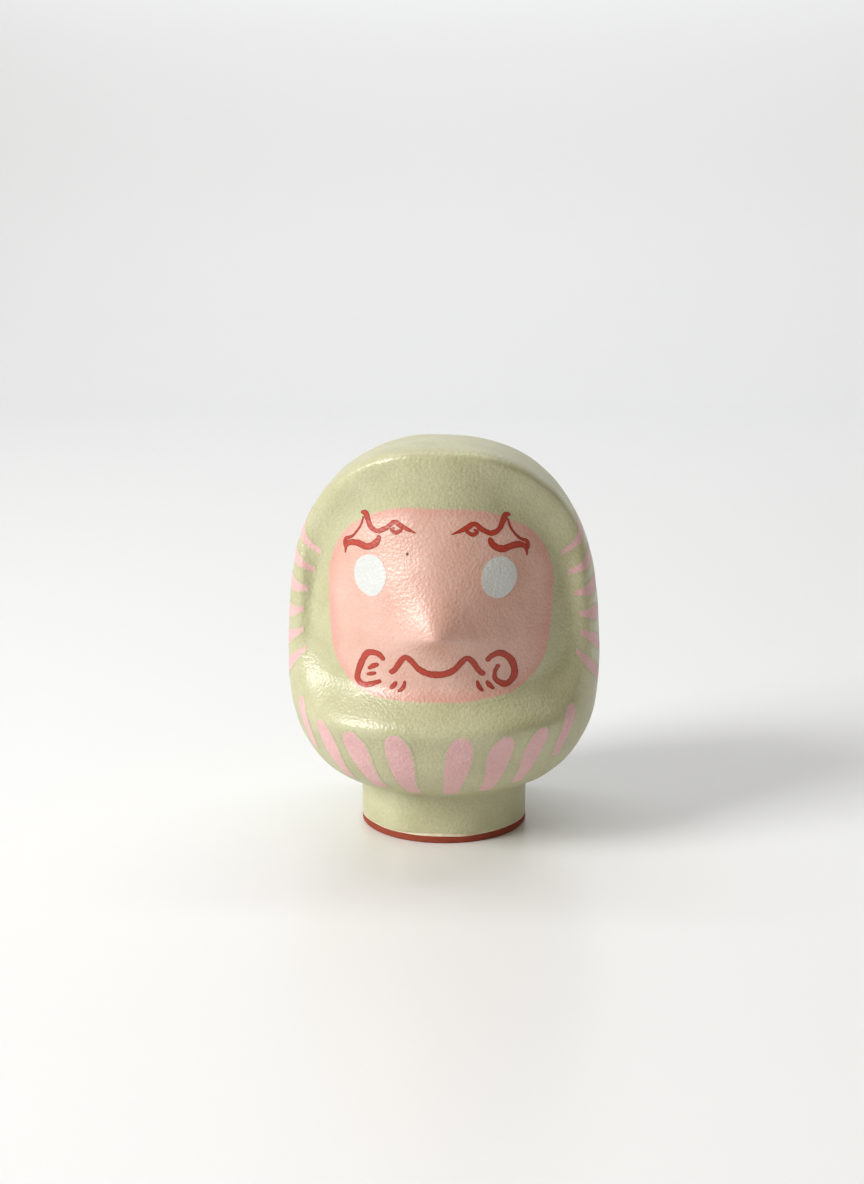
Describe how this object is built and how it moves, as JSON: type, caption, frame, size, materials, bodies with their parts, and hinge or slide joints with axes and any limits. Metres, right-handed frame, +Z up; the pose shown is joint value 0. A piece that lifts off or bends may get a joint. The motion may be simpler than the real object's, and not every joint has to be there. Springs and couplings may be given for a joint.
{
  "type": "daruma doll",
  "caption": "Small papier-mache daruma doll with a hooded painted face, striped belly and a round weighted foot.",
  "frame": {"origin": "centre of the foot's underside, on the table", "axes": "+Z up through the crown, the face looks along -Y, +X is the viewer's right when facing the doll"},
  "size_m": [0.065, 0.0634, 0.0827],
  "materials": {
    "green_shell": "satin-matte green water paint over white primer on moulded paper",
    "seam_paper": "bare pasted paper",
    "clay": "bare red-brown clay, turned and smoothed",
    "primer": "matt white shell-powder primer",
    "face_pink": "satin-matte skin-pink paint",
    "eye_white": "satin white paint",
    "brush_red": "brown-red brush paint",
    "stripe_pink": "matte rose-pink brush paint"
  },
  "bodies": {
    "root": {"front_shell": "green_shell", "back_shell": "green_shell", "seam_paper_left": "seam_paper", "seam_paper_right": "seam_paper", "crown_paper": "seam_paper", "foot_weight": "clay", "primer_edge": "primer", "face_coat": "face_pink", "eye_white_left": "eye_white", "eye_white_right": "eye_white", "brow_left": "brush_red", "brow_right": "brush_red", "moustache": "brush_red", "cheek_curl_left": "brush_red", "cheek_curl_right": "brush_red", "chin_whiskers": "brush_red", "side_stripes_left": "stripe_pink", "side_stripes_right": "stripe_pink", "belly_stripes_front": "stripe_pink"}
  },
  "joints": []
}
